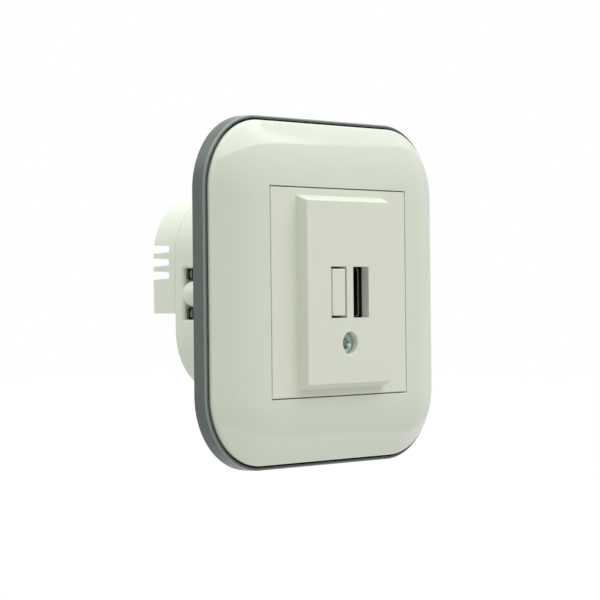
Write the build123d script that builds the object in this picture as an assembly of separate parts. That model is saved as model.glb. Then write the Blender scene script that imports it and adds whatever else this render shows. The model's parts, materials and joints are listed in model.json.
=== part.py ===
from build123d import *
import os
from math import sqrt

# Flush-mounted wall socket with one USB-A charging port and a push key beside it.
# Millimetres, +Z up. The wall is the plane Y = 0, the room is on its -Y side, and the
# origin is the middle of the support plate's back face.

# Centre plate and its raised block
plate_size = 54.7
plate_thickness = 2.2
plate_rise = 9.9
plate_edge_round = 0.2
block_width = 35.2
block_height = 50.9
block_rise = 3.3
block_round = 0.35
block_slope_x = 0.6
block_slope_z = 1.35
block_wall = 2.4
block_side_wall = 2.4
cutout_width = 6.4
cutout_height = 13.55
cutout_offset = 4.5
port_collar_wall = 1.2
port_collar_depth = 4.9

# Cover frame
frame_size = 89.7
corner_inset = 1.5
frame_wall = 2.0
plate_gap = 0.3
shoulder_rise = 5.25
shoulder_round = 1.2
ledge_width = 2.15
ledge_thickness = 1.5
ledge_root = 2.0
ledge_bond = 0.8

# Trim ring
trim_gap = 0.4
trim_wall = 0.85
trim_depth = 4.2
trim_edge_round = 0.5
trim_flange_thickness = 1.2
trim_flange_width = 4.5
skirt_clearance = 0.1

# Plate screw and the bush that takes it
screw_drop = 13.5
screw_diameter = 3.0
screw_length = 10.0
screw_hole_clearance = 0.3
thread_clearance = 0.1
head_diameter = 5.5
head_height = 1.7
head_recess = 0.9
head_gap = 0.25
head_hole_round = 0.3
head_round = 0.8
cross_width = 0.75
cross_length = 3.1
cross_depth = 1.0
cross_turn = 25.0
plate_boss_wall = 1.5
boss_reach = 5.0
boss_gap = 0.3
bush_diameter = 4.6
bush_length = 4.5
bush_clearance = 0.05
boss_wall = 1.9

# Push key
key_gap = 0.6
key_round = 0.3
key_flange_lap = 0.5
key_flange_thickness = 1.2
key_seat_gap = 0.1
key_stem_width = 4.4
key_stem_height = 9.0
key_socket_depth = 1.5
key_socket_clearance = 0.1

# Support plate and its screws
support_edge = 2.0
support_thickness = 1.2
support_window_width = 32.0
support_window_height = 38.0
support_window_round = 3.0
box_screw_spacing = 60.0
box_slot_length = 7.0
box_slot_width = 4.2
support_screw_diameter = 2.9
support_screw_length = 13.0
support_head_diameter = 5.4
support_head_height = 1.8
support_slot_width = 0.8
support_slot_depth = 0.9

# Insert housing
housing_width = 47.6
housing_height = 50.0
housing_depth = 28.5
housing_wall = 1.8
shoulder_crop = 2.0
housing_corner = 2.0
housing_edge_round = 0.4
post_diameter = 6.4
post_inset = 0.3
post_end_gap = 0.7
post_dome = 2.4
barrel_diameter = 7.0
barrel_in = 1.8
barrel_end_gap = 0.1
pilot_clearance = 0.1
pilot_run_out = 1.0
bay_depth = 5.8
bay_front = 10.0
bay_back = 25.2
bay_wall = 1.5
bay_edge_round = 0.9
bay_margin = 3.1
rib_width = 12.0
rib_lap = 1.2

# Rear cover
rear_inset = 0.1
rear_edge_round = 0.4
rear_depth = 8.3
rear_bottom = 5.2
vent_count = 3
vent_pitch = 3.55
vent_middle = 8.62
vent_mouth = 2.3
vent_root = 1.6
vent_floor = 2.2
window_width = 34.0
window_bottom = 3.0
window_top = 21.0
spigot_clearance = 0.15
spigot_wall = 1.2
spigot_reach = 1.3
rear_wall = 1.6

# Inner front of the insert
front_thickness = 1.6
front_clearance = 0.15
pillar_diameter = 3.0
pillar_spread_x = 24.0
pillar_spread_z = 32.0
pass_gap = 0.2

# Circuit board
board_depth = 4.8
board_thickness = 1.6
board_post_gap = 1.1
board_edge_gap = 1.3
board_corner = 4.0

# USB port
shell_width = 5.72
shell_height = 13.1
shell_wall = 0.3
shell_corner = 0.9
shell_lead_in = 0.2
port_recess = 3.2
insulator_base = 4.0
insulator_clearance = 0.05
tongue_thickness = 1.84
tongue_width = 11.1
tongue_offset = 0.98
tongue_recess = 1.0
contact_places = (-3.5, -1.0, 1.0, 3.5)
contact_width = 1.0
contact_thickness = 0.25
contact_recess = 0.8

# Push switch
switch_size = 7.8
switch_height = 7.0
plunger_diameter = 3.4
plunger_reach = 4.2
plunger_clearance = 0.1
plunger_tail = 5.0
switch_floor = 0.3

# Supply terminals in the side bay
strip_width = 2.8
strip_thickness = 0.9
strip_barrel_gap = 0.4
strip_edge_gap = 0.2
stop_thickness = 0.6
stop_inset = 1.2
floor_gap = 0.05
tab_lap = 1.5
tab_thickness = 0.8
tab_slot_gap = 0.15
clamp_place = 2.3
clamp_size = 3.0
clamp_thickness = 0.8
clamp_screw_diameter = 2.0
clamp_head_diameter = 3.0
clamp_head_height = 2.8
clamp_head_round = 0.5
clamp_slot_width = 0.5
clamp_slot_depth = 0.8
collar_diameter = 2.9
collar_length = 2.2

# Parts on the back of the board: places are measured from the board's edges and middle line
transformer_in = 10.0
transformer_up = 6.0
bobbin_width = 12.6
bobbin_height = 12.6
bobbin_flange = 1.5
bobbin_length = 13.0
hub_diameter = 7.0
winding_diameter = 11.6
winding_clearance = 0.1
core_leg = 2.2
core_height = 6.0
core_centre = 4.4
core_clearance = 0.15
core_back = 3.0
input_capacitor_in = 5.5
input_capacitor_down = 7.0
input_capacitor_diameter = 8.0
input_capacitor_length = 12.0
output_capacitor_in = 6.0
output_capacitor_up = 8.5
output_capacitor_diameter = 6.3
output_capacitor_length = 11.0
capacitor_edge = 0.5
safety_capacitor_in = 10.5
safety_capacitor_up = 6.5
safety_capacitor_size = (11.0, 10.0, 5.0)
rectifier_gap = 1.2
rectifier_up = 4.0
rectifier_size = (4.5, 2.4, 4.5)
chip_in = 6.5
chip_down = 4.5
chip_size = (5.0, 1.6, 4.0)
fuse_in = 2.4
fuse_down = 9.6
fuse_diameter = 2.6
fuse_length = 8.0
choke_in = 13.5
choke_down = 6.0
choke_diameter = 5.0
choke_waist = 3.4
choke_flange = 1.2
choke_length = 6.5

# Places that follow from the sizes
plate_front = -plate_rise
plate_back = plate_front + plate_thickness
block_face = plate_front - block_rise
block_back = block_face + block_wall
opening_half = plate_size / 2 + plate_gap
frame_half = frame_size / 2
corner_centre = opening_half - corner_inset
crown_run = frame_half - opening_half
crown_drop = plate_rise - shoulder_rise
crown_radius = (crown_run**2 + crown_drop**2) / (2 * crown_drop)
crown_centre = plate_front + crown_radius
ledge_back = plate_back + ledge_thickness
trim_inner = frame_half + trim_gap
trim_outer = trim_inner + trim_wall
skirt_back = -trim_flange_thickness - skirt_clearance
key_x = -cutout_offset
port_x = cutout_offset
screw_z = -screw_drop
screw_seat = block_face + head_recess + head_height
screw_hole = screw_diameter + screw_hole_clearance
board_front = board_depth
board_back = board_front + board_thickness
switch_front = board_front - switch_height
plunger_front = switch_front - plunger_reach
key_stem_back = plunger_front + key_socket_depth - key_socket_clearance
key_flange_front = block_back + key_seat_gap
key_flange_back = key_flange_front + key_flange_thickness
support_size = box_screw_spacing + box_slot_length + 2 * support_edge
post_x = housing_width / 2 - post_diameter / 2 - post_inset
bay_floor = bay_depth - housing_width / 2
barrel_x = housing_width / 2 - barrel_in
bay_half = barrel_diameter / 2 + strip_barrel_gap + strip_width + strip_edge_gap
housing_shoulder = housing_height / 2 + shoulder_crop - bay_half - bay_margin
strip_z = bay_half - strip_edge_gap - strip_width / 2
strip_back = bay_back - floor_gap
strip_face = bay_floor - floor_gap - strip_thickness
clamp_y = bay_back - clamp_place
board_half_x = post_x - post_diameter / 2 - board_post_gap
board_half_z = housing_height / 2 - housing_wall - board_edge_gap
transformer_place = (board_half_x - transformer_in, transformer_up)
input_capacitor_place = (input_capacitor_in - board_half_x, board_half_z - input_capacitor_down)
output_capacitor_place = (board_half_x - output_capacitor_in, output_capacitor_up - board_half_z)
safety_capacitor_place = (safety_capacitor_in - board_half_x, safety_capacitor_up - board_half_z)
core_half = bobbin_width / 2 + core_clearance + core_leg
core_left = transformer_place[0] - core_half
rectifier_place = (core_left - rectifier_gap - rectifier_size[0] / 2, rectifier_up)
chip_place = (chip_in - board_half_x, -chip_down)
fuse_place = (fuse_in - board_half_x, -fuse_down)
choke_place = (board_half_x - choke_in, -choke_down)
rear_back = housing_depth + rear_depth
shell_front = block_face + port_recess
shell_back = board_front
tongue_front = shell_front + tongue_recess
tongue_x = port_x + tongue_offset
insulator_front = board_front - insulator_base


def block(x_range, y_range, z_range):
    """Box between a low and a high value on each axis."""
    ranges = (x_range, y_range, z_range)
    middle = [(low + high) / 2 for low, high in ranges]
    size = [high - low for low, high in ranges]
    return Pos(*middle) * Box(*size)


def about(middle, size):
    """Low and high value of a stretch that lies evenly about its middle."""
    return (middle - size / 2, middle + size / 2)


def rod(x, z, diameter, y_front, y_back):
    """Cylinder along Y."""
    length = y_back - y_front
    return Pos(x, y_front + length / 2, z) * Rot(90, 0, 0) * Cylinder(diameter / 2, length)


def cross_rod(y, z, diameter, x_low, x_high):
    """Cylinder along X."""
    length = x_high - x_low
    return Pos(x_low + length / 2, y, z) * Rot(0, 90, 0) * Cylinder(diameter / 2, length)


def prism(outline, y_front, y_back):
    """Outline drawn in X and Z, given a thickness along Y."""
    return extrude(Plane.XZ.offset(-y_back) * outline, amount=y_back - y_front)


def group(solids):
    """Separate solids of one kind, kept together."""
    return Compound(children=list(solids))


def ring_from(section):
    """Section drawn as (distance from the middle, depth), carried round a square with round corners."""
    side = extrude(section, amount=corner_centre, both=True)
    turn_axis = Axis((corner_centre, 0, corner_centre), (0, -1, 0))
    corner = revolve(Pos(0, 0, corner_centre) * section, turn_axis, revolution_arc=90)
    quarter = side + corner
    ring = quarter
    for turn in (90, 180, 270):
        ring += Rot(0, turn, 0) * quarter
    return ring


def crown_depth(distance, inset=0.0):
    """Depth of the frame's crowned face, or of its underside, at a distance from the middle."""
    return crown_centre - sqrt((crown_radius - inset) ** 2 - (distance - opening_half) ** 2)


def crown_arc(start, end, inset=0.0):
    """Stretch of the crowned face between two distances from the middle."""
    distances = (start, (start + end) / 2, end)
    return ThreePointArc(*[(d, crown_depth(d, inset)) for d in distances])


def trim_ring():
    """Grey ring on the wall, with a flange under the frame's skirt."""
    flange_inner = trim_outer - trim_flange_width
    outer_edge = (trim_outer, -trim_depth)
    section = make_face(
        Polyline(
            (trim_outer, 0),
            outer_edge,
            (trim_inner, -trim_depth),
            (trim_inner, -trim_flange_thickness),
            (flange_inner, -trim_flange_thickness),
            (flange_inner, 0),
            close=True,
        )
    )
    corner = section.vertices().sort_by_distance(outer_edge)[0]
    return ring_from(fillet(corner, trim_edge_round))


def cover_frame():
    """Crowned shell with a skirt at its edge and a ledge that carries the centre plate."""
    root = opening_half + ledge_root
    skirt_inner = frame_half - frame_wall
    shoulder = (frame_half, -shoulder_rise)
    section = make_face(
        [
            Line((frame_half, skirt_back), shoulder),
            crown_arc(frame_half, opening_half),
            Polyline(
                (opening_half, plate_front),
                (opening_half, ledge_back),
                (root, ledge_back),
                (root, crown_depth(root, frame_wall)),
            ),
            crown_arc(root, skirt_inner, frame_wall),
            Polyline(
                (skirt_inner, crown_depth(skirt_inner, frame_wall)),
                (skirt_inner, skirt_back),
                (frame_half, skirt_back),
            ),
        ]
    )
    corner = section.vertices().sort_by_distance(shoulder)[0]
    shell = ring_from(fillet(corner, shoulder_round))
    ledge_outer = 2 * (opening_half + ledge_bond)
    ledge_inner = 2 * (opening_half - ledge_width)
    ledge_outline = Rectangle(ledge_outer, ledge_outer) - Rectangle(ledge_inner, ledge_inner)
    ledge = prism(ledge_outline, plate_back, ledge_back)
    opening = prism(Rectangle(2 * opening_half, 2 * opening_half), block_face, plate_back)
    return shell + ledge - opening


def centre_plate():
    """Square plate with a raised block, two cut-outs, a collar behind the port and a sunk screw hole."""
    plate = prism(Rectangle(plate_size, plate_size), plate_front, plate_back)
    front_edges = plate.faces().sort_by(Axis.Y)[0].edges()
    plate = fillet(front_edges, plate_edge_round)
    foot = Rectangle(block_width, block_height)
    face = Rectangle(block_width - 2 * block_slope_x, block_height - 2 * block_slope_z)
    raised = loft([Plane.XZ.offset(-plate_front) * foot, Plane.XZ.offset(-block_face) * face])
    upper_edges = raised.edges().filter_by(lambda edge: edge.center().Y < plate_front - block_round)
    raised = fillet(upper_edges, block_round)
    hollow_x = block_width - 2 * block_side_wall
    hollow_z = block_height - 2 * block_side_wall
    hollow = block(about(0, hollow_x), (block_back, plate_back), about(0, hollow_z))
    head_hole = head_diameter + 2 * head_gap
    boss_diameter = head_hole + 2 * plate_boss_wall
    boss = rod(0, screw_z, boss_diameter, block_back, -boss_reach - boss_gap)
    collar = block(
        about(port_x, cutout_width + 2 * port_collar_wall),
        (block_back, block_face + port_collar_depth),
        about(0, cutout_height + 2 * port_collar_wall),
    )
    body = plate + raised - hollow + boss + collar
    for x in (key_x, port_x):
        body -= block(
            about(x, cutout_width), (block_face - block_round, plate_back), about(0, cutout_height)
        )
    body -= rod(0, screw_z, head_hole, block_face - block_round, screw_seat)
    hole_rim = body.edges().filter_by(lambda edge: on_screw_hole_rim(edge.center()))
    body = fillet(hole_rim, head_hole_round)
    return body - rod(0, screw_z, screw_hole, screw_seat, 0)


def on_screw_hole_rim(point):
    """Whether a point of an edge lies on the front rim of the sunk screw hole."""
    reach = (point - Vector(0, block_face, screw_z)).length
    return abs(reach - head_diameter / 2 - head_gap) < head_gap / 2


def push_key():
    """Key flush with the block's face, held in by flanges at its sides, on the switch's plunger."""
    key_width = cutout_width - 2 * key_gap
    key_height = cutout_height - 2 * key_gap
    flange_width = cutout_width + 2 * key_flange_lap
    cap = block(about(key_x, key_width), (block_face, key_flange_front), about(0, key_height))
    cap = fillet(cap.faces().sort_by(Axis.Y)[0].edges(), key_round)
    flange_stretch = (key_flange_front, key_flange_back)
    flange = block(about(key_x, flange_width), flange_stretch, about(0, key_height))
    stem_stretch = (key_flange_back, key_stem_back)
    stem = block(about(key_x, key_stem_width), stem_stretch, about(0, key_stem_height))
    socket_diameter = plunger_diameter + 2 * key_socket_clearance
    socket = rod(key_x, 0, socket_diameter, key_stem_back - key_socket_depth, key_stem_back)
    return cap + flange + stem - socket


def plate_screw():
    """Pan-head screw with a cross recess."""
    head = rod(0, screw_z, head_diameter, screw_seat - head_height, screw_seat)
    rim = head.faces().sort_by(Axis.Y)[0].edges()
    head = fillet(rim, head_round)
    head_front = screw_seat - head_height
    arm = Box(cross_length, 2 * cross_depth, cross_width)
    for turn in (cross_turn, cross_turn + 90):
        head -= Pos(0, head_front, screw_z) * Rot(0, turn, 0) * arm
    return head + rod(0, screw_z, screw_diameter, screw_seat, screw_seat + screw_length)


def threaded_bush():
    """Brass bush for the plate screw, set in the inner front's boss."""
    bush = rod(0, screw_z, bush_diameter, -boss_reach, -boss_reach + bush_length)
    bore = rod(0, screw_z, screw_diameter + thread_clearance, -boss_reach, -boss_reach + bush_length)
    return bush - bore


def support_plate():
    """Steel plate that is screwed to the wall box, with two pairs of slots."""
    corner = support_size / 2 - corner_centre
    outline = RectangleRounded(support_size, support_size, corner)
    outline -= RectangleRounded(support_window_width, support_window_height, support_window_round)
    reach = box_screw_spacing / 2
    for turn in (0, 90, 180, 270):
        outline -= Rot(0, 0, turn) * Pos(reach, 0) * SlotOverall(box_slot_length, box_slot_width)
    for x in (-post_x, post_x):
        outline -= Pos(x, 0) * Circle((support_screw_diameter + screw_hole_clearance) / 2)
    return prism(outline, -support_thickness, 0)


def support_screws():
    """Two slotted screws that hold the support plate and the inner front to the posts."""
    seat = -support_thickness
    top = seat - support_head_height
    screws = []
    for x in (-post_x, post_x):
        head = rod(x, 0, support_head_diameter, top, seat)
        slot = block(
            about(x, support_slot_width), (top, top + support_slot_depth), about(0, support_head_diameter)
        )
        screws.append(head - slot + rod(x, 0, support_screw_diameter, seat, seat + support_screw_length))
    return group(screws)


def housing_outline(inset):
    """Side flats and round shoulders cut off level at both ends, drawn in from the housing's own."""
    width = housing_width - 2 * inset
    height = housing_height - 2 * inset
    shoulders = RectangleRounded(width, height + 2 * shoulder_crop, housing_shoulder - inset)
    outline = shoulders & Rectangle(width, height)
    corners = outline.vertices().filter_by(lambda corner: abs(corner.Y) > height / 2 - shoulder_crop)
    return fillet(corners, housing_corner)


def insert_front():
    """Inner front of the insert: closes the housing, holds the board and carries the bush."""
    boss_diameter = bush_diameter + 2 * boss_wall
    body = prism(housing_outline(housing_wall + front_clearance), 0, front_thickness)
    body += rod(0, screw_z, boss_diameter, -boss_reach, 0)
    for x in about(0, pillar_spread_x):
        for z in about(0, pillar_spread_z):
            body += rod(x, z, pillar_diameter, front_thickness, board_front)
    bush_seat = bush_diameter + 2 * bush_clearance
    body -= rod(0, screw_z, bush_seat, -boss_reach, -boss_reach + bush_length)
    body -= rod(0, screw_z, screw_hole, -boss_reach, front_thickness)
    shell_pass = (shell_width + 2 * pass_gap, shell_height + 2 * pass_gap)
    switch_pass = (switch_size + 2 * pass_gap, switch_size + 2 * pass_gap)
    for x, (width, height) in ((port_x, shell_pass), (key_x, switch_pass)):
        body -= block(about(x, width), (0, front_thickness), about(0, height))
    for x in (-post_x, post_x):
        hole = support_screw_diameter + screw_hole_clearance
        body -= rod(x, 0, hole, 0, front_thickness)
    return body


def insert_housing():
    """Cup behind the wall line, with two screw posts and a bay in its left side, crossed by a barrel."""
    cup_floor = housing_depth - housing_wall
    shell = prism(housing_outline(0), 0, housing_depth)
    shell = fillet(shell.faces().sort_by(Axis.Y)[-1].edges(), housing_edge_round)
    shell -= prism(housing_outline(housing_wall), 0, cup_floor)
    window_middle = (window_top - window_bottom) / 2
    window_height = window_top + window_bottom
    shell -= block(
        about(0, window_width), (cup_floor, housing_depth), about(window_middle, window_height)
    )
    rib_inner = board_half_z - rib_lap
    rib_outer = housing_height / 2 - housing_wall / 2
    for low, high in ((rib_inner, rib_outer), (-rib_outer, -rib_inner)):
        shell += block(about(0, rib_width), (board_back, cup_floor), (low, high))
    wall_middle = housing_wall / 2 - housing_width / 2
    bay_box = block(
        (wall_middle, bay_floor + bay_wall),
        (bay_front - bay_wall, bay_back + bay_wall),
        about(0, 2 * (bay_half + bay_wall)),
    )
    bay = block((-housing_width / 2 - bay_depth, bay_floor), (bay_front, bay_back), about(0, 2 * bay_half))
    shell = shell + bay_box - bay
    mouth = shell.edges().filter_by(lambda edge: on_bay_mouth(edge.center()))
    shell = fillet(mouth, bay_edge_round)
    pilot_diameter = support_screw_diameter + pilot_clearance
    pilot_back = support_screw_length - support_thickness + pilot_run_out
    left_post = rod(-post_x, 0, post_diameter, front_thickness, bay_back - post_end_gap)
    left_post = fillet(left_post.faces().sort_by(Axis.Y)[-1].edges(), post_dome)
    right_post = rod(post_x, 0, post_diameter, front_thickness, cup_floor)
    barrel = rod(-barrel_x, 0, barrel_diameter, front_thickness, bay_back - barrel_end_gap)
    barrel = fillet(barrel.faces().sort_by(Axis.Y)[-1].edges(), post_dome)
    shell = shell + left_post + right_post + barrel
    for x in (-post_x, post_x):
        shell -= rod(x, 0, pilot_diameter, front_thickness, pilot_back)
    for z in (-strip_z, strip_z):
        shell -= block(
            (strip_face - tab_slot_gap, bay_floor - floor_gap + tab_slot_gap),
            (bay_front - bay_wall, bay_front),
            about(z, strip_width + 2 * tab_slot_gap),
        )
        shell -= cross_rod(
            clamp_y, z, collar_diameter + 2 * tab_slot_gap, bay_floor, bay_floor + bay_wall
        )
    return shell


def on_bay_mouth(point):
    """Whether an edge's middle lies on the rim of the bay in the housing's left flat."""
    margin = housing_wall / 4
    on_flat = abs(point.X + housing_width / 2) < margin
    beside = bay_front - margin < point.Y < bay_back + margin
    return on_flat and beside and abs(point.Z) < bay_half + margin


def rear_cover():
    """Finned cap on the housing's upper back, with a spigot in the housing's window."""
    body = prism(housing_outline(rear_inset), housing_depth, rear_back)
    body = fillet(body.faces().sort_by(Axis.Y)[-1].edges(), rear_edge_round)
    below = -housing_height
    body -= block(about(0, 2 * housing_width), (housing_depth, rear_back), (below, -rear_bottom))
    root_y = housing_depth + vent_floor
    for count in range(vent_count):
        z = vent_middle + (count - (vent_count - 1) / 2) * vent_pitch
        wedge = Polygon(
            (root_y, z - vent_root / 2),
            (rear_back, z - vent_mouth / 2),
            (rear_back, z + vent_mouth / 2),
            (root_y, z + vent_root / 2),
            align=None,
        )
        body -= extrude(Plane.YZ * wedge, amount=housing_width, both=True)
    spigot_x = window_width - 2 * spigot_clearance
    spigot_low = -window_bottom + spigot_clearance
    spigot_high = window_top - spigot_clearance
    inner_x = spigot_x - 2 * spigot_wall
    inner_low = spigot_low + spigot_wall
    inner_high = spigot_high - spigot_wall
    spigot_stretch = (housing_depth - spigot_reach, housing_depth)
    body += block(about(0, spigot_x), spigot_stretch, (spigot_low, spigot_high))
    body -= block(about(0, inner_x), spigot_stretch, (inner_low, inner_high))
    vent_spread = (vent_count - 1) / 2 * vent_pitch + vent_mouth / 2
    cavity_stretch = (housing_depth, rear_back - rear_wall)
    lower_top = vent_middle - vent_spread - rear_wall
    upper_bottom = vent_middle + vent_spread + rear_wall
    for low, high in ((inner_low, lower_top), (upper_bottom, inner_high)):
        body -= block(about(0, inner_x - 2 * rear_wall), cavity_stretch, (low, high))
    return body


def circuit_board():
    """Board between the inner front's pillars and the housing's ribs."""
    outline = RectangleRounded(2 * board_half_x, 2 * board_half_z, board_corner)
    outline &= housing_outline(housing_wall + board_edge_gap)
    return prism(outline, board_front, board_back)


def usb_shell():
    """Folded metal shell of the port, standing on the board, with a lead-in for the plug."""
    outer = Pos(port_x, 0) * shell_outline(0)
    inner = Pos(port_x, 0) * shell_outline(shell_wall)
    mouth = Pos(port_x, 0) * shell_outline(shell_wall - shell_lead_in)
    lead_in = loft(
        [Plane.XZ.offset(-shell_front) * mouth, Plane.XZ.offset(-shell_front - shell_lead_in) * inner]
    )
    return prism(outer - inner, shell_front, shell_back) - lead_in


def shell_outline(inset):
    """Rounded outline of the port's shell, drawn in by an inset."""
    return RectangleRounded(shell_width - 2 * inset, shell_height - 2 * inset, shell_corner - inset)


def usb_insulator():
    """Moulded base in the shell, with the tongue that carries the contacts."""
    inset = shell_wall + insulator_clearance
    corner = shell_corner - inset
    outline = RectangleRounded(shell_width - 2 * inset, shell_height - 2 * inset, corner)
    base = prism(Pos(port_x, 0) * outline, insulator_front, board_front)
    tongue = block(
        about(tongue_x, tongue_thickness), (tongue_front, insulator_front), about(0, tongue_width)
    )
    return base + tongue


def usb_contacts():
    """Four contact strips on the tongue's open side."""
    side = tongue_x - tongue_thickness / 2
    stretch = (tongue_front + contact_recess, insulator_front)
    return group(
        block((side - contact_thickness, side), stretch, about(z, contact_width)) for z in contact_places
    )


def switch_body():
    """Push switch on the board's front, bored for its plunger."""
    body = block(about(key_x, switch_size), (switch_front, board_front), about(0, switch_size))
    bore = plunger_diameter + 2 * plunger_clearance
    return body - rod(key_x, 0, bore, switch_front, board_front - switch_floor)


def switch_plunger():
    """Round plunger between the switch and the key."""
    return rod(key_x, 0, plunger_diameter, plunger_front, switch_front + plunger_tail)


def terminal(side):
    """Steel strip on the bay's floor, with a threaded collar, a wire stop and a tab bent to the board."""
    z = side * strip_z
    strip_back_face = strip_face + strip_thickness
    strip = block((strip_face, strip_back_face), (board_back, strip_back), about(z, strip_width))
    stop_stretch = (strip_back - stop_thickness, strip_back)
    stop = block((stop_inset - housing_width / 2, strip_back_face), stop_stretch, about(z, strip_width))
    tab_end = tab_lap - board_half_x
    tab = block((strip_face, tab_end), (board_back, board_back + tab_thickness), about(z, strip_width))
    collar = cross_rod(clamp_y, z, collar_diameter, strip_back_face, strip_back_face + collar_length)
    bore_diameter = clamp_screw_diameter + thread_clearance
    bore = cross_rod(clamp_y, z, bore_diameter, strip_face, strip_back_face + collar_length)
    return strip + stop + tab + collar - bore


def terminal_upper():
    return terminal(1)


def terminal_lower():
    return terminal(-1)


def clamp_washers():
    """Two square clamp plates on the strips."""
    washers = []
    stretch = (strip_face - clamp_thickness, strip_face)
    hole_diameter = clamp_screw_diameter + thread_clearance
    for z in (-strip_z, strip_z):
        plate = block(stretch, about(clamp_y, clamp_size), about(z, clamp_size))
        washers.append(plate - cross_rod(clamp_y, z, hole_diameter, *stretch))
    return group(washers)


def terminal_screws():
    """Two slotted clamp screws whose heads face out of the bay."""
    seat = strip_face - clamp_thickness
    top = seat - clamp_head_height
    tip = strip_face + strip_thickness + collar_length
    screws = []
    for z in (-strip_z, strip_z):
        head = cross_rod(clamp_y, z, clamp_head_diameter, top, seat)
        head = fillet(head.faces().sort_by(Axis.X)[0].edges(), clamp_head_round)
        slot = block(
            (top, top + clamp_slot_depth), about(clamp_y, clamp_slot_width), about(z, clamp_head_diameter)
        )
        screws.append(head - slot + cross_rod(clamp_y, z, clamp_screw_diameter, seat, tip))
    return group(screws)


def transformer_bobbin():
    """Hollow hub with a flange at each end."""
    x, z = transformer_place
    last = board_back + bobbin_length
    body = rod(x, z, hub_diameter, board_back, last)
    for low in (board_back, last - bobbin_flange):
        body += block(about(x, bobbin_width), (low, low + bobbin_flange), about(z, bobbin_height))
    return body - rod(x, z, core_centre + 2 * core_clearance, board_back + bobbin_flange, last)


def transformer_winding():
    """Winding on the bobbin's hub."""
    x, z = transformer_place
    first = board_back + bobbin_flange + winding_clearance
    last = board_back + bobbin_length - bobbin_flange - winding_clearance
    coil = rod(x, z, winding_diameter, first, last)
    return coil - rod(x, z, hub_diameter + 2 * winding_clearance, first, last)


def transformer_core():
    """Ferrite core: a back with two legs outside the bobbin and one through its hub."""
    x, z = transformer_place
    leg_front = board_back + bobbin_flange + core_clearance
    seat = board_back + bobbin_length
    leg_middle = core_half - core_leg / 2
    body = block(about(x, 2 * core_half), (seat, seat + core_back), about(z, core_height))
    for leg_x in (x - leg_middle, x + leg_middle):
        body += block(about(leg_x, core_leg), (leg_front, seat), about(z, core_height))
    return body + rod(x, z, core_centre, leg_front, seat)


def capacitor(place, diameter, length):
    """Round capacitor standing on the back of the board."""
    can = rod(*place, diameter, board_back, board_back + length)
    return fillet(can.faces().sort_by(Axis.Y)[-1].edges(), capacitor_edge)


def input_capacitor():
    return capacitor(input_capacitor_place, input_capacitor_diameter, input_capacitor_length)


def output_capacitor():
    return capacitor(output_capacitor_place, output_capacitor_diameter, output_capacitor_length)


def boxed_part(place, size):
    """Rectangular part on the back of the board, sized (X, Y, Z)."""
    x, z = place
    width, height, length = size
    return block(about(x, width), (board_back, board_back + height), about(z, length))


def safety_capacitor():
    return boxed_part(safety_capacitor_place, safety_capacitor_size)


def bridge_rectifier():
    return boxed_part(rectifier_place, rectifier_size)


def controller_chip():
    return boxed_part(chip_place, chip_size)


def fuse():
    return rod(*fuse_place, fuse_diameter, board_back, board_back + fuse_length)


def output_choke():
    """Drum-shaped choke."""
    last = board_back + choke_length
    body = rod(*choke_place, choke_waist, board_back, last)
    for low in (board_back, last - choke_flange):
        body += rod(*choke_place, choke_diameter, low, low + choke_flange)
    return body


pieces = (
    trim_ring,
    cover_frame,
    centre_plate,
    push_key,
    plate_screw,
    threaded_bush,
    support_plate,
    support_screws,
    insert_front,
    insert_housing,
    rear_cover,
    circuit_board,
    usb_shell,
    usb_insulator,
    usb_contacts,
    switch_body,
    switch_plunger,
    terminal_upper,
    terminal_lower,
    clamp_washers,
    terminal_screws,
    transformer_bobbin,
    transformer_winding,
    transformer_core,
    input_capacitor,
    output_capacitor,
    safety_capacitor,
    bridge_rectifier,
    controller_chip,
    fuse,
    output_choke,
)

os.makedirs("parts", exist_ok=True)
for piece in pieces:
    export_step(piece(), f"parts/{piece.__name__}.step")
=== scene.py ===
# %% [markdown]
# # A USB wall socket
# This lesson dresses a flush-mounted wall socket with a charging port. The solid model comes in as a
# fixed frame: its pieces keep their places, and each visible one gets its real finish. Where light has to
# run smoothly over a curved moulding, or an edge is too sharp, the piece is modelled again on the same
# spot.

# %% Load the frame
import json
from math import asin, cos, pi, radians, sin

import bmesh
import bpy
from mathutils import Matrix, Vector


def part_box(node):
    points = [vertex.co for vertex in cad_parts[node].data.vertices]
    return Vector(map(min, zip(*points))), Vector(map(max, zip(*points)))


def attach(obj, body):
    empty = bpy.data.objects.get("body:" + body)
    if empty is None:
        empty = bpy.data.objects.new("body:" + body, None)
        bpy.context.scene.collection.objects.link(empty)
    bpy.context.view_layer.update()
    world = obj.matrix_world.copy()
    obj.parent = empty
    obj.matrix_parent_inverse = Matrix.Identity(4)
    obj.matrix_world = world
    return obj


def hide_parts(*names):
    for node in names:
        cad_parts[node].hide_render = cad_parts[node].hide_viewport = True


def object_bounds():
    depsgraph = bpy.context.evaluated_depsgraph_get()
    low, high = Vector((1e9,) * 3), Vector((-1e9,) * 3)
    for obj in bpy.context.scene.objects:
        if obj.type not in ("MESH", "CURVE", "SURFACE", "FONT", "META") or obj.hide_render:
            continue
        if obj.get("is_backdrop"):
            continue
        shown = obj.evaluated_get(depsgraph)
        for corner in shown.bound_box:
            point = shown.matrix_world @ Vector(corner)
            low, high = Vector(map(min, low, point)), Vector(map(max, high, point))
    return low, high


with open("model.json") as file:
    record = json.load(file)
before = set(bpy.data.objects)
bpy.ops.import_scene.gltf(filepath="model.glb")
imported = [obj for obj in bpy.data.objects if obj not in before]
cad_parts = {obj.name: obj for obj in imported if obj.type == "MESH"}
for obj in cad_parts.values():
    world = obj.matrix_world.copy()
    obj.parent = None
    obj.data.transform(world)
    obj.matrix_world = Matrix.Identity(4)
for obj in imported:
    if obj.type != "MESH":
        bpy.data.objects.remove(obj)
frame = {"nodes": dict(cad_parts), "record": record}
nodes = frame["nodes"]
scene = bpy.context.scene
cad_low, cad_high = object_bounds()
MM = 0.001
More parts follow.
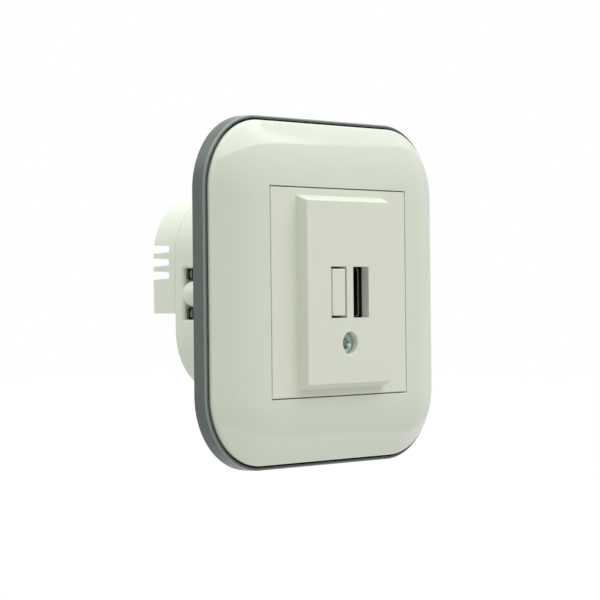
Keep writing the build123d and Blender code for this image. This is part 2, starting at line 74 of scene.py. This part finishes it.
print("nodes in the frame:", len(nodes))
print("size of the solid model in mm:", [round(value / MM, 1) for value in cad_high - cad_low])

# %% [markdown]
# ## Camera
# The photograph was taken from the left of the socket, level with its middle, with a long lens. The
# camera's place and turn were worked out from the edges of the square centre plate, whose corners are
# known points.

# %% Set the camera
azimuth = radians(-48.6023)
elevation = radians(-0.0437)
roll = radians(-0.6155)
camera_place = Vector((-462.1, -402.8, -2.4)) * MM

backward = Vector((sin(azimuth) * cos(elevation), -cos(azimuth) * cos(elevation), sin(elevation)))
level_right = Vector((0, 0, 1)).cross(backward).normalized()
level_up = backward.cross(level_right)
right = cos(roll) * level_right + sin(roll) * level_up
up = cos(roll) * level_up - sin(roll) * level_right

lens_data = bpy.data.cameras.new("long_lens")
lens_data.sensor_width = 36.0
lens_data.lens = 136.9
lens_data.clip_start = 0.01
camera = bpy.data.objects.new("camera", lens_data)
scene.collection.objects.link(camera)
turn = Matrix((right, up, backward)).transposed().to_4x4()
camera.matrix_world = Matrix.Translation(camera_place) @ turn
scene.camera = camera
print("camera distance in mm:", round(camera_place.length / MM))

# %% [markdown]
# ## Node helper and colours
# Every finish below is a small node tree. One function adds a node, sets its values and links it up, so a
# tree reads from top to bottom. Colours are written as sRGB hex values, the way a paint chart gives them,
# and one function turns them into the linear values that a shader needs.


# %% Node helper and colours
def add_node(tree, kind, settings, links):
    """New node: settings go to its properties or inputs, links join other nodes' outputs to its inputs."""
    node = tree.nodes.new(kind)
    for name, value in settings.items():
        if isinstance(name, int) or name in node.inputs:
            node.inputs[name].default_value = value
        else:
            setattr(node, name, value)
    for name, output in links.items():
        tree.links.new(output, node.inputs[name])
    return node


def linear(hex_colour):
    """Linear RGBA of an sRGB colour such as 'D3D7C8'."""
    channels = [int(hex_colour[start : start + 2], 16) / 255 for start in (0, 2, 4)]
    return [c / 12.92 if c <= 0.04045 else ((c + 0.055) / 1.055) ** 2.4 for c in channels] + [1.0]


def cycles(size_mm):
    """Scale of a texture whose grain has this size: texture scales count grains in a metre."""
    return 1 / (size_mm * MM)


# The Mix node keeps sockets for numbers, vectors and colours: these are the places of its colour sockets.
MIX_A = 6
MIX_B = 7
MIX_RESULT = 2
print("white plastic in linear light:", [round(c, 3) for c in linear("E9ECE0")])

# %% [markdown]
# ## Studio
# The socket hangs in front of white, lit by soft panels above, in front, at the left and behind, and by a
# little light from all round. The white is only what the camera and mirror-like surfaces see: the Light
# Path node tells those rays from the rays that light the object, which get a lower level, so pale plastic
# keeps its shading. A polished moulding would mirror all that white and lose its form, so a cloth stands
# in front of it, out of the picture, as photographers place one beside glossy things. It runs from dark
# to pale grey along its length, and only mirror-like rays meet it.

# %% Set the world, floor and lamps
ambient_level = 0.395
# The grid operator takes half a width, so this makes a sheet one unit wide.
UNIT_SHEET = 0.5
floor_half = 4.0
floor_level = -0.19
paper_glow = 1.09
paper_glow_share = 0.93
flag_width = 1.3
flag_height = 0.346
flag_turn = radians(28)
flag_place = (0.444, -0.043, 0.014)
flag_dark = 0.05
flag_grey = 0.4
flag_pale = 0.64
flag_grey_from = -0.04
flag_grey_to = 0.2
flag_pale_from = 0.34
flag_pale_to = 0.42


def any_ray(tree, kinds):
    """Output that is 1 for rays of these kinds, as the Light Path node names them, and 0 for others."""
    ray = add_node(tree, "ShaderNodeLightPath", {}, {})
    result = ray.outputs[kinds[0]]
    for kind in kinds[1:]:
        either = add_node(
            tree, "ShaderNodeMath", {"operation": "MAXIMUM"}, {0: result, 1: ray.outputs[kind]}
        )
        result = either.outputs[0]
    return result


world = bpy.data.worlds.new("studio")
scene.world = world
world.use_nodes = True
tree = world.node_tree
tree.nodes.clear()
seen = any_ray(tree, ("Is Camera Ray", "Is Glossy Ray", "Is Transmission Ray"))
level = add_node(tree, "ShaderNodeMapRange", {"To Min": ambient_level}, {"Value": seen})
white = add_node(
    tree, "ShaderNodeBackground", {"Color": (1, 1, 1, 1)}, {"Strength": level.outputs["Result"]}
)
add_node(tree, "ShaderNodeOutputWorld", {}, {"Surface": white.outputs["Background"]})

floor_mesh = bpy.data.meshes.new("studio_floor")
bm = bmesh.new()
bmesh.ops.create_grid(bm, x_segments=1, y_segments=1, size=floor_half)
bmesh.ops.translate(bm, verts=bm.verts, vec=(0, 0, floor_level))
bm.to_mesh(floor_mesh)
bm.free()
floor = bpy.data.objects.new("studio_floor", floor_mesh)
scene.collection.objects.link(floor)
floor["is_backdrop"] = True

paper = bpy.data.materials.new("white_studio_paper")
paper.use_nodes = True
tree = paper.node_tree
tree.nodes.clear()
seen = any_ray(tree, ("Is Camera Ray", "Is Glossy Ray"))
sheet = add_node(tree, "ShaderNodeBsdfDiffuse", {"Color": linear("CFCFCC")}, {})
glow = add_node(tree, "ShaderNodeEmission", {"Color": (1, 1, 1, 1), "Strength": paper_glow}, {})
share = add_node(tree, "ShaderNodeMath", {"operation": "MULTIPLY", 1: paper_glow_share}, {0: seen})
mixed = add_node(
    tree,
    "ShaderNodeMixShader",
    {},
    {0: share.outputs[0], 1: sheet.outputs["BSDF"], 2: glow.outputs["Emission"]},
)
add_node(tree, "ShaderNodeOutputMaterial", {}, {"Surface": mixed.outputs["Shader"]})
floor_mesh.materials.append(paper)


def panel_lamp(name, place, width, height, watts, aim=(0, 0, 0)):
    """Soft rectangular lamp at a place, turned to face a point."""
    data = bpy.data.lights.new(name, "AREA")
    data.shape = "RECTANGLE"
    data.size = width
    data.size_y = height
    data.energy = watts
    lamp = bpy.data.objects.new(name, data)
    scene.collection.objects.link(lamp)
    lamp.location = place
    lamp.rotation_euler = (Vector(place) - Vector(aim)).to_track_quat("Z", "Y").to_euler()


panel_lamp("overhead_panel", place=(0, 0, 0.9), width=1.8, height=1.4, watts=7.5)
panel_lamp("front_panel", place=(0.95, -0.45, 0.8), width=0.9, height=0.9, watts=1.4)
panel_lamp("key_panel", place=(0.36, -0.8, 0.96), width=1.5, height=0.8, watts=7.2)
panel_lamp("left_panel", place=(-0.85, -0.95, 0.15), width=0.5, height=1.2, watts=0.3)
panel_lamp("rear_panel", place=(-0.6, 0.5, 0.85), width=0.8, height=0.8, watts=3.2, aim=(0, 0.02, 0))

flag_mesh = bpy.data.meshes.new("dark_flag")
bm = bmesh.new()
bmesh.ops.create_grid(bm, x_segments=1, y_segments=1, size=UNIT_SHEET)
bmesh.ops.scale(bm, verts=bm.verts, vec=(flag_width, flag_height, 1))
bmesh.ops.rotate(bm, verts=bm.verts, matrix=Matrix.Rotation(pi / 2, 3, "X"))
bmesh.ops.rotate(bm, verts=bm.verts, matrix=Matrix.Rotation(flag_turn, 3, "Z"))
bmesh.ops.translate(bm, verts=bm.verts, vec=flag_place)
bm.to_mesh(flag_mesh)
bm.free()
flag = bpy.data.objects.new("dark_flag", flag_mesh)
scene.collection.objects.link(flag)
flag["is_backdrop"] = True
cloth = bpy.data.materials.new("grey_flag_cloth")
cloth.use_nodes = True
tree = cloth.node_tree
tree.nodes.clear()
place = add_node(tree, "ShaderNodeTexCoord", {}, {})
spot = add_node(tree, "ShaderNodeSeparateXYZ", {}, {"Vector": place.outputs["Object"]})
shade = add_node(
    tree,
    "ShaderNodeMapRange",
    {"From Min": flag_grey_from, "From Max": flag_grey_to, "To Min": flag_dark, "To Max": flag_grey},
    {"Value": spot.outputs["X"]},
)
pale_end = add_node(
    tree,
    "ShaderNodeMapRange",
    {"From Min": flag_pale_from, "From Max": flag_pale_to, "To Max": flag_pale - flag_grey},
    {"Value": spot.outputs["X"]},
)
total = add_node(tree, "ShaderNodeMath", {}, {0: shade.outputs["Result"], 1: pale_end.outputs["Result"]})
glow = add_node(tree, "ShaderNodeEmission", {"Color": (1, 1, 1, 1)}, {"Strength": total.outputs[0]})
add_node(tree, "ShaderNodeOutputMaterial", {}, {"Surface": glow.outputs["Emission"]})
flag_mesh.materials.append(cloth)
flag.visible_camera = False
flag.visible_diffuse = False
flag.visible_shadow = False
flag.visible_transmission = False
scene.view_settings.view_transform = "Standard"

# %% [markdown]
# ## Moulded plastics
# All the white and grey pieces are injection mouldings, and they differ in how their mould was finished.
# The centre plate and key come from a spark-eroded mould, which leaves a fine even matt grain. The frame
# comes from a polished mould and keeps its gloss, with only the faint waviness of cooled plastic. The
# insert is a plain matt technical part. So one function makes them all: a colour that drifts a little
# with the flow of the plastic, a fine grain as bump, and a roughness.


# %% Plastic finishes
FLOW_MM = 14.0


def moulded_plastic(name, colour, drift, roughness, grain_mm, grain_height_mm, ior):
    """Injection-moulded plastic between two close colours, with the grain that its mould left."""
    material = bpy.data.materials.new(name)
    material.use_nodes = True
    tree = material.node_tree
    shader = tree.nodes["Principled BSDF"]
    shader.inputs["Roughness"].default_value = roughness
    shader.inputs["IOR"].default_value = ior
    place = add_node(tree, "ShaderNodeTexCoord", {}, {})
    spot = place.outputs["Object"]
    flow = add_node(
        tree,
        "ShaderNodeTexNoise",
        {"Scale": cycles(FLOW_MM), "Detail": 2.0, "Roughness": 0.5},
        {"Vector": spot},
    )
    tint = add_node(
        tree,
        "ShaderNodeMix",
        {"data_type": "RGBA", MIX_A: linear(colour), MIX_B: linear(drift)},
        {0: flow.outputs["Fac"]},
    )
    tree.links.new(tint.outputs[MIX_RESULT], shader.inputs["Base Color"])
    grain = add_node(
        tree, "ShaderNodeTexNoise", {"Scale": cycles(grain_mm), "Detail": 3.0}, {"Vector": spot}
    )
    bump = add_node(
        tree,
        "ShaderNodeBump",
        {"Strength": 1.0, "Distance": grain_height_mm * MM},
        {"Height": grain.outputs["Fac"]},
    )
    tree.links.new(bump.outputs["Normal"], shader.inputs["Normal"])
    return material


# The numbers are the roughness, the grain and its height in mm, and the index of refraction.
finishes = {
    "plate_white": moulded_plastic(
        "matt_grained_white_plastic", "E6EADB", "E2E7D7", 0.55, 0.35, 0.004, 1.49
    ),
    "frame_white": moulded_plastic("polished_white_plastic", "E4EADA", "E0E7D6", 0.08, 9.0, 0.01, 1.49),
    "housing_white": moulded_plastic("matt_white_polycarbonate", "EBF3E1", "E7EFDD", 0.5, 0.5, 0.006, 1.58),
    "trim_grey": moulded_plastic("satin_grey_plastic", "596560", "54605B", 0.35, 0.6, 0.004, 1.49),
    "tongue_brown": moulded_plastic("matt_brown_polyester", "403C30", "3A362B", 0.5, 0.4, 0.006, 1.55),
    "black_plastic": moulded_plastic("matt_black_polyester", "141412", "0E0E0D", 0.5, 0.4, 0.006, 1.55),
    "capacitor_yellow": moulded_plastic("yellow_moulded_case", "D9A62A", "D09C22", 0.4, 0.8, 0.006, 1.5),
    "fuse_glass": moulded_plastic("pale_shrink_sleeve", "CFCABC", "C6C1B2", 0.3, 1.5, 0.01, 1.5),
    "capacitor_sleeve": moulded_plastic("dark_shrink_sleeve", "14182A", "0F1322", 0.25, 1.8, 0.02, 1.5),
}
print("plastics:", [material.name for material in finishes.values()])

# %% [markdown]
# ## Metals
# The support plate and its screws are zinc-plated steel, the port's shell is nickel plated and the
# terminals have a dull grey plating. The shell's nickel is given a darker colour than the metal has:
# painted shade, for its place deep in the port. A metal has no colour of its own under its reflection, so
# the base colour is its reflection, and what the eye takes for dullness is roughness that varies: plating
# is mottled, drawn strip has fine lines along its length.


# %% Metal finishes
PLATING_BUMP_MM = 0.004


def plated_metal(name, colour, roughness_low, roughness_high, mottle_mm, stretch):
    """Metal whose roughness changes in spots, or in lines where stretch squeezes the pattern."""
    material = bpy.data.materials.new(name)
    material.use_nodes = True
    tree = material.node_tree
    shader = tree.nodes["Principled BSDF"]
    shader.inputs["Base Color"].default_value = linear(colour)
    shader.inputs["Metallic"].default_value = 1.0
    place = add_node(tree, "ShaderNodeTexCoord", {}, {})
    squeezed = add_node(tree, "ShaderNodeMapping", {"Scale": stretch}, {"Vector": place.outputs["Object"]})
    mottle = add_node(
        tree,
        "ShaderNodeTexNoise",
        {"Scale": cycles(mottle_mm), "Detail": 3.0},
        {"Vector": squeezed.outputs["Vector"]},
    )
    dull = add_node(
        tree,
        "ShaderNodeMapRange",
        {"To Min": roughness_low, "To Max": roughness_high},
        {"Value": mottle.outputs["Fac"]},
    )
    tree.links.new(dull.outputs["Result"], shader.inputs["Roughness"])
    bump = add_node(
        tree,
        "ShaderNodeBump",
        {"Strength": 1.0, "Distance": PLATING_BUMP_MM * MM},
        {"Height": mottle.outputs["Fac"]},
    )
    tree.links.new(bump.outputs["Normal"], shader.inputs["Normal"])
    return material


# The numbers are the lowest and highest roughness, the size of the spots in mm and their stretch.
finishes["zinc_steel"] = plated_metal("grey_zinc_plating", "A9B3B0", 0.3, 0.48, 0.8, (1, 1, 1))
# The shell's colour is darker than nickel: painted shade for its place deep in the port.
finishes["nickel_plate"] = plated_metal("nickel_plating_darkened_as_painted_shade", "625D51", 0.35, 0.5, 0.5, (1, 0.12, 1))
finishes["dark_steel"] = plated_metal("dull_grey_plating", "686C65", 0.4, 0.6, 0.6, (1, 0.2, 1))
finishes["brass"] = plated_metal("drawn_brass", "C8A55A", 0.2, 0.38, 0.5, (1, 0.1, 1))
finishes["copper"] = plated_metal("enamelled_copper_wire", "A8623A", 0.2, 0.34, 0.6, (0.2, 1, 0.2))
metal_slots = ("zinc_steel", "nickel_plate", "dark_steel", "brass", "copper")
print("metals:", [finishes[slot].name for slot in metal_slots])

# %% [markdown]
# ## Board and ferrite
# The circuit board is glass fibre under green solder resist, so copper tracks show through as a paler
# green pattern. Ferrite is a sintered ceramic: dark grey, matt and faintly speckled.


# %% Board and ferrite finishes
def speckled(name, colour, fleck, cell_mm, edge_low, edge_high, roughness):
    """Two colours in small cells, with the change between them set by two levels."""
    material = bpy.data.materials.new(name)
    material.use_nodes = True
    tree = material.node_tree
    shader = tree.nodes["Principled BSDF"]
    shader.inputs["Roughness"].default_value = roughness
    place = add_node(tree, "ShaderNodeTexCoord", {}, {})
    cells = add_node(
        tree,
        "ShaderNodeTexVoronoi",
        {"distance": "CHEBYCHEV", "Scale": cycles(cell_mm)},
        {"Vector": place.outputs["Object"]},
    )
    share = add_node(
        tree,
        "ShaderNodeMapRange",
        {"From Min": edge_low, "From Max": edge_high},
        {"Value": cells.outputs["Distance"]},
    )
    tint = add_node(
        tree,
        "ShaderNodeMix",
        {"data_type": "RGBA", MIX_A: linear(colour), MIX_B: linear(fleck)},
        {0: share.outputs["Result"]},
    )
    tree.links.new(tint.outputs[MIX_RESULT], shader.inputs["Base Color"])
    return material


# The numbers are the size of the cells in mm, the two levels and the roughness.
finishes["board_green"] = speckled("green_solder_resist", "1B5E32", "2F7D47", 3.0, 0.42, 0.5, 0.35)
finishes["ferrite"] = speckled("sintered_ferrite", "26262A", "3A3A3E", 0.6, 0.2, 0.6, 0.6)
print("finishes in all:", len(finishes))

# %% [markdown]
# ## Finishes on the frame's own pieces
# Each piece in the record names a material slot. The solids whose shape is already right keep their
# meshes and only change their material here. Curved faces of these meshes carry their own smooth normals.

# %% Dress the solid model
for subpart in frame["record"]["subparts"]:
    node = nodes[subpart["node"]]
    node.data.materials.clear()
    node.data.materials.append(finishes[subpart["material_slot"]])

# %% [markdown]
# ## Helpers for modelled pieces
# The frame, the trim and the screw are what the light plays on, so they are modelled again as clean
# meshes. Each one becomes an object in the same way: shaded smooth up to its sharp edges, with a Weighted
# Normal modifier that lets the large faces decide the shading at an edge, so a narrow rounding doesn't
# darken the flat beside it.

# %% Helper for finished pieces
SHARP_ANGLE = radians(40)
MERGE_DISTANCE = 0.001 * MM
CORNER_STEPS = 6


def add_piece(bm, name, slot, body, node):
    """Object from a bmesh that rides on a body, in place of a node of the frame if one is named."""
    mesh = bpy.data.meshes.new(name)
    bm.to_mesh(mesh)
    bm.free()
    mesh.materials.append(finishes[slot])
    mesh.shade_smooth()
    mesh.set_sharp_from_angle(angle=SHARP_ANGLE)
    piece = bpy.data.objects.new(name, mesh)
    scene.collection.objects.link(piece)
    shading = piece.modifiers.new("even_shading", "WEIGHTED_NORMAL")
    shading.keep_sharp = True
    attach(piece, body)
    if node:
        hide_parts(node)
    print(name, "has", len(mesh.polygons), "faces")
    return piece


def only(kind, elements):
    """Elements of one kind, such as vertices, from what an operator made."""
    return [element for element in elements if isinstance(element, kind)]


# %% [markdown]
# ## Sections carried round a square
# The frame and the trim have one section all round: straight along the sides and turned about a point at
# each corner. A curve with a bevel profile could do that, but it stretches the section at its corners.
# Here the section is drawn once, as edges in one plane, and extruded along a side and spun through a
# corner, four times. The section is drawn as distance from the socket's middle and depth, in millimetres,
# as a drawing of the part would give it.


# %% Section and sweep helpers
def start_section(distance, depth):
    """New bmesh with the first point of a section."""
    bm = bmesh.new()
    return bm, bm.verts.new((distance * MM, depth * MM, 0))


def run_to(bm, start, distance, depth):
    """Straight run of the section to a new point, which is returned."""
    end = bmesh.ops.extrude_vert_indiv(bm, verts=[start])["verts"][0]
    end.co = (distance * MM, depth * MM, 0)
    return end


def arc_by(bm, start, centre, angle, steps):
    """Round stretch of the section about a centre, and the point where it ends."""
    distance, depth = centre
    made = bmesh.ops.spin(
        bm, geom=[start], cent=(distance * MM, depth * MM, 0), axis=(0, 0, 1), angle=angle, steps=steps
    )
    return only(bmesh.types.BMVert, made["geom_last"])[0]


def close_section(bm, first, last, rounded):
    """Join the ends of a section and round some of its corners, each by its own run along the edges."""
    bm.edges.new((last, first))
    bmesh.ops.edgeloop_fill(bm, edges=bm.edges)
    for corner, run in rounded:
        bmesh.ops.bevel(
            bm,
            geom=[corner],
            offset=run * MM,
            segments=CORNER_STEPS,
            profile=0.5,
            affect="VERTICES",
            material=-1,
        )
    bmesh.ops.delete(bm, geom=bm.faces, context="FACES_ONLY")


def sweep_round_square(bm, turn_centre, steps):
    """Carry the section round a square whose corners turn about points at this distance from the middle."""
    centre = turn_centre * MM
    bmesh.ops.translate(bm, verts=bm.verts, vec=(0, 0, -centre))
    ends = list(bm.edges)
    for side in range(4):
        turn = Matrix.Rotation(-side * pi / 2, 3, "Y")
        made = bmesh.ops.extrude_edge_only(bm, edges=ends)["geom"]
        moved = only(bmesh.types.BMVert, made)
        ends = [edge for edge in only(bmesh.types.BMEdge, made) if edge.is_boundary]
        bmesh.ops.translate(bm, verts=moved, vec=turn @ Vector((0, 0, 2 * centre)))
        made = bmesh.ops.spin(
            bm,
            geom=moved + ends,
            cent=turn @ Vector((centre, 0, centre)),
            axis=(0, -1, 0),
            angle=pi / 2,
            steps=steps,
        )
        ends = only(bmesh.types.BMEdge, made["geom_last"])
    bmesh.ops.remove_doubles(bm, verts=bm.verts, dist=MERGE_DISTANCE)
    bmesh.ops.recalc_face_normals(bm, faces=bm.faces)


corner_inset = 1.5
frame_low, frame_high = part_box("cover_frame")
plate_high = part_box("centre_plate")[1]
plate_gap = 0.3
opening_half = plate_high.x / MM + plate_gap
turn_centre = opening_half - corner_inset
print("corners turn about points", round(turn_centre, 2), "mm from the middle")

# %% [markdown]
# ## Cover frame
# The frame is a shell: a side wall, a rounded shoulder, a face that is part of a large circle, and the
# wall of the opening. Its gloss shows every facet, so the face's arc gets many short steps. The sweep
# turns the opening's corners too, but a square plate sits there, so those points are pushed out to the
# square, and then the rim is softened. Low on its side the wall steps in, which leaves the dark line
# between the frame and the trim.

# %% Model the cover frame
frame_half = frame_high.x / MM
frame_back = frame_high.y / MM
frame_front = frame_low.y / MM
frame_wall = 2.0
shoulder_depth = -5.25
shoulder_run = 0.69
ledge_root = 2.0
ledge_back = -6.2
ledge_front = -7.7
ledge_inner = 25.5
ledge_lap = 0.8
rim_round = 0.15
rim_reach = 0.01
rim_depth = 0.02
shadow_step = 0.8
shadow_depth = -4.15
crown_steps = 24
under_steps = 8
frame_corner_steps = 24
rim_steps = 3

crown_run = frame_half - opening_half
crown_drop = shoulder_depth - frame_front
crown_radius = (crown_run**2 + crown_drop**2) / (2 * crown_drop)
crown_centre = (opening_half, frame_front + crown_radius)
crown_angle = asin(crown_run / crown_radius)
under_radius = crown_radius - frame_wall
under_start = asin(ledge_root / under_radius)
under_end = asin((crown_run - frame_wall) / under_radius)

bm, shoulder = start_section(frame_half, shoulder_depth)
point = arc_by(bm, shoulder, crown_centre, -crown_angle, crown_steps)
point = run_to(bm, point, opening_half, ledge_back)
point = run_to(bm, point, opening_half + ledge_root, ledge_back)
point = run_to(bm, point, opening_half + ledge_root, crown_centre[1] - under_radius * cos(under_start))
point = arc_by(bm, point, crown_centre, under_end - under_start, under_steps)
point = run_to(bm, point, frame_half - frame_wall, frame_back)
point = run_to(bm, point, frame_half - shadow_step, frame_back)
point = run_to(bm, point, frame_half - shadow_step, shadow_depth)
point = run_to(bm, point, frame_half, shadow_depth)
close_section(bm, shoulder, point, [(shoulder, shoulder_run)])
sweep_round_square(bm, turn_centre, frame_corner_steps)

for vert in bm.verts:
    past_x = abs(vert.co.x) / MM - turn_centre
    past_z = abs(vert.co.z) / MM - turn_centre
    reach = max(past_x, past_z)
    if min(past_x, past_z) > 0 and reach < corner_inset:
        stretch = corner_inset / reach
        vert.co.x *= (turn_centre + past_x * stretch) / (turn_centre + past_x)
        vert.co.z *= (turn_centre + past_z * stretch) / (turn_centre + past_z)


def on_rim(vert):
    """Whether a point lies on the front edge of the opening."""
    across = max(abs(vert.co.x), abs(vert.co.z)) / MM
    return abs(across - opening_half) < rim_reach and vert.co.y / MM < frame_front + rim_depth


rim = [edge for edge in bm.edges if all(on_rim(vert) for vert in edge.verts)]
bmesh.ops.bevel(
    bm, geom=rim, offset=rim_round * MM, segments=rim_steps, profile=0.5, affect="EDGES", material=-1
)

ledge_outer = opening_half + ledge_lap
made = bmesh.ops.create_grid(bm, x_segments=1, y_segments=1, size=ledge_outer * MM)
bmesh.ops.rotate(bm, verts=made["verts"], matrix=Matrix.Rotation(pi / 2, 3, "X"))
bmesh.ops.translate(bm, verts=made["verts"], vec=(0, ledge_front * MM, 0))
sheet = list(made["verts"][0].link_faces)
bmesh.ops.inset_region(
    bm, faces=sheet, thickness=(ledge_outer - ledge_inner) * MM, use_boundary=True, use_even_offset=True
)
strip = [face for edge in sheet[0].edges for face in edge.link_faces if face is not sheet[0]]
bmesh.ops.delete(bm, geom=sheet, context="FACES_ONLY")
bmesh.ops.solidify(bm, geom=strip, thickness=(ledge_back - ledge_front) * MM)
print("strips of the ledge:", len(strip))
add_piece(bm, "polished_cover_frame", "frame_white", "socket", "cover_frame")

# %% [markdown]
# ## Trim ring
# The grey trim is the same kind of ring with a plainer section: an upright wall on a flat flange. Its
# outer front edge is rounded, and the faces of that rounding get a paler grey: a painted highlight, which
# draws the thin pale line down the trim's side. A mask on the whole material could draw that line, but the
# faces of the rounding are at hand, so they get a material of their own.

# %% Model the trim ring
trim_low, trim_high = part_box("trim_ring")
trim_outer = trim_high.x / MM
trim_front = trim_low.y / MM
trim_wall = 0.85
flange_front = -1.2
flange_width = 4.5
outer_round = 0.6
inner_round = 0.15
trim_corner_steps = 32
highlight_front = -0.8
highlight_side = -0.1

bm, back = start_section(trim_outer, 0)
outer_edge = run_to(bm, back, trim_outer, trim_front)
inner_edge = run_to(bm, outer_edge, trim_outer - trim_wall, trim_front)
root = run_to(bm, inner_edge, trim_outer - trim_wall, flange_front)
flange_edge = run_to(bm, root, trim_outer - flange_width, flange_front)
flange_back = run_to(bm, flange_edge, trim_outer - flange_width, 0)
close_section(bm, back, flange_back, [(outer_edge, outer_round), (inner_edge, inner_round)])
sweep_round_square(bm, turn_centre, trim_corner_steps)


def on_painted_highlight(face):
    """Whether a face lies on the rounding of the outer front edge, where the highlight is painted."""
    middle = face.calc_center_median()
    outward = face.normal.x * middle.x + face.normal.z * middle.z
    return highlight_front < face.normal.y < highlight_side and outward > 0


# The faces of the rounding get a paler grey: a painted highlight.
painted_highlight = [face for face in bm.faces if on_painted_highlight(face)]
for face in painted_highlight:
    face.material_index = 1
print("rubbed faces:", len(painted_highlight))
trim_ring = add_piece(bm, "satin_trim_ring", "trim_grey", "socket", "trim_ring")
# Paler grey that paints the highlight along the rounded front edge.
painted_highlight_edge = moulded_plastic("grey_painted_highlight_edge", "8C9590", "868F8A", 0.3, 0.6, 0.004, 1.49)
trim_ring.data.materials.append(painted_highlight_edge)

# %% [markdown]
# ## Plate screw
# One zinc-plated pan-head screw holds the centre plate. Its head is a shallow dome with a cross struck
# into it. A boolean could cut the cross, but it leaves long thin faces. Here the head is drawn as half a
# section and spun, planes cut the cross's outline into the dome, and those faces are pushed in and drawn
# together, as the punch leaves them. Its plating is fresher and bluer than that of the steel inside, so
# it gets a finish of its own.

# %% Model the plate screw
screw_low, screw_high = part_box("plate_screw")
head_radius = (screw_high.x - screw_low.x) / 2 / MM
head_front = screw_low.y / MM
head_height = 1.7
head_back = head_front + head_height
screw_back = screw_high.y / MM
shank_radius = 1.5
tip_bevel = 0.4
dome_radius = 5.0
rim_radius = 0.45
cross_half = 1.7
cross_arm_half = 0.42
cross_depth = 1.1
cross_taper = 0.6
cross_turn = radians(40)
dome_steps = 8
head_rim_steps = 6
round_steps = 48

dome_reach = dome_radius - rim_radius
dome_angle = asin((head_radius - rim_radius) / dome_reach)
rim_centre = (head_radius - rim_radius, head_front + dome_radius - dome_reach * cos(dome_angle))
bm, pole = start_section(0, head_front)
point = arc_by(bm, pole, (0, head_front + dome_radius), dome_angle, dome_steps)
point = arc_by(bm, point, rim_centre, pi / 2 - dome_angle, head_rim_steps)
point = run_to(bm, point, head_radius, head_back)
point = run_to(bm, point, shank_radius, head_back)
point = run_to(bm, point, shank_radius, screw_back - tip_bevel)
point = run_to(bm, point, shank_radius - tip_bevel, screw_back)
point = run_to(bm, point, 0, screw_back)
half_section = [*bm.verts, *bm.edges]
bmesh.ops.spin(
    bm, geom=half_section, cent=(0, 0, 0), axis=(0, 1, 0), angle=2 * pi, steps=round_steps, use_merge=True
)
bmesh.ops.remove_doubles(bm, verts=bm.verts, dist=MERGE_DISTANCE)
bmesh.ops.recalc_face_normals(bm, faces=bm.faces)

along = Matrix.Rotation(cross_turn, 3, "Y") @ Vector((1, 0, 0))
across = Matrix.Rotation(cross_turn, 3, "Y") @ Vector((0, 0, 1))
for side in (along, across):
    for offset in (-cross_half, -cross_arm_half, cross_arm_half, cross_half):
        whole = [*bm.verts, *bm.edges, *bm.faces]
        bmesh.ops.bisect_plane(bm, geom=whole, plane_co=side * offset * MM, plane_no=side)


def in_cross(face):
    """Whether a face of the dome lies inside the cross."""
    middle = face.calc_center_median()
    reach = sorted((abs(middle.dot(along)) / MM, abs(middle.dot(across)) / MM))
    return middle.y / MM < head_front + rim_radius and reach[0] < cross_arm_half and reach[1] < cross_half


struck = [face for face in bm.faces if in_cross(face)]
floor_points = only(bmesh.types.BMVert, bmesh.ops.extrude_face_region(bm, geom=struck)["geom"])
bmesh.ops.translate(bm, verts=floor_points, vec=(0, cross_depth * MM, 0))
bmesh.ops.scale(bm, verts=floor_points, vec=(cross_taper, 1, cross_taper))
bmesh.ops.delete(bm, geom=struck, context="FACES")
screw_place = ((screw_low.x + screw_high.x) / 2, 0, (screw_low.z + screw_high.z) / 2)
bmesh.ops.translate(bm, verts=bm.verts, vec=screw_place)
plate_screw = add_piece(bm, "cross_recess_screw", "zinc_steel", "socket", "plate_screw")
plate_screw.data.materials[0] = plated_metal("bluish_zinc_plating", "CBDBD6", 0.12, 0.28, 0.5, (1, 1, 1))

# %% [markdown]
# ## Painted shade round the port
# The port's metal shell stands in the cut-out with a little room round it. A thin black sleeve fills that
# room and stands a little proud of the shell, so no white shows close round the port: it is painted shade,
# a dark piece where the gap round the shell would lie in shadow. It could be cut from a box with a boolean.
# A flat ring, from the shell's outline out to the cut-out's, drawn out along the port, needs no cutting.

# %% Model the painted shade round the port
shell_low, shell_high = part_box("usb_shell")
shade_sleeve_gap = 0.03
shade_sleeve_sides = 0.28
shade_sleeve_ends = 0.14
shade_sleeve_proud = 0.8
shade_sleeve_length = 2.4

inner_width = (shell_high.x - shell_low.x) / MM + 2 * shade_sleeve_gap
inner_height = (shell_high.z - shell_low.z) / MM + 2 * shade_sleeve_gap
bm = bmesh.new()
bmesh.ops.create_grid(bm, x_segments=1, y_segments=1, size=UNIT_SHEET * MM)
bmesh.ops.rotate(bm, verts=bm.verts, matrix=Matrix.Rotation(pi / 2, 3, "X"))
bmesh.ops.scale(bm, verts=bm.verts, vec=(inner_width, 1, inner_height))
inside = list(bm.faces)
made = bmesh.ops.extrude_edge_only(bm, edges=bm.edges)["geom"]
spread = (1 + 2 * shade_sleeve_sides / inner_width, 1, 1 + 2 * shade_sleeve_ends / inner_height)
bmesh.ops.scale(bm, verts=only(bmesh.types.BMVert, made), vec=spread)
bmesh.ops.delete(bm, geom=inside, context="FACES_ONLY")
made = bmesh.ops.extrude_face_region(bm, geom=bm.faces)["geom"]
bmesh.ops.translate(bm, verts=only(bmesh.types.BMVert, made), vec=(0, shade_sleeve_length * MM, 0))
bmesh.ops.recalc_face_normals(bm, faces=bm.faces)
shade_sleeve_place = (shell_low + shell_high) / 2
shade_sleeve_place.y = shell_low.y - shade_sleeve_proud * MM
bmesh.ops.translate(bm, verts=bm.verts, vec=shade_sleeve_place)
# A black piece in the gap round the shell: painted shade.
add_piece(bm, "painted_shade_port_sleeve", "black_plastic", "socket", None)

# %% [markdown]
# ## Size of the dressed model
# The dressed model should stay inside the solid model's box, so the largest change between the two
# boxes is printed.

# %% Print the change of size
seen_low, seen_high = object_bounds()
changes = [*(seen_low - cad_low), *(seen_high - cad_high)]
print("largest change of the box in mm:", max(abs(change) / MM for change in changes))
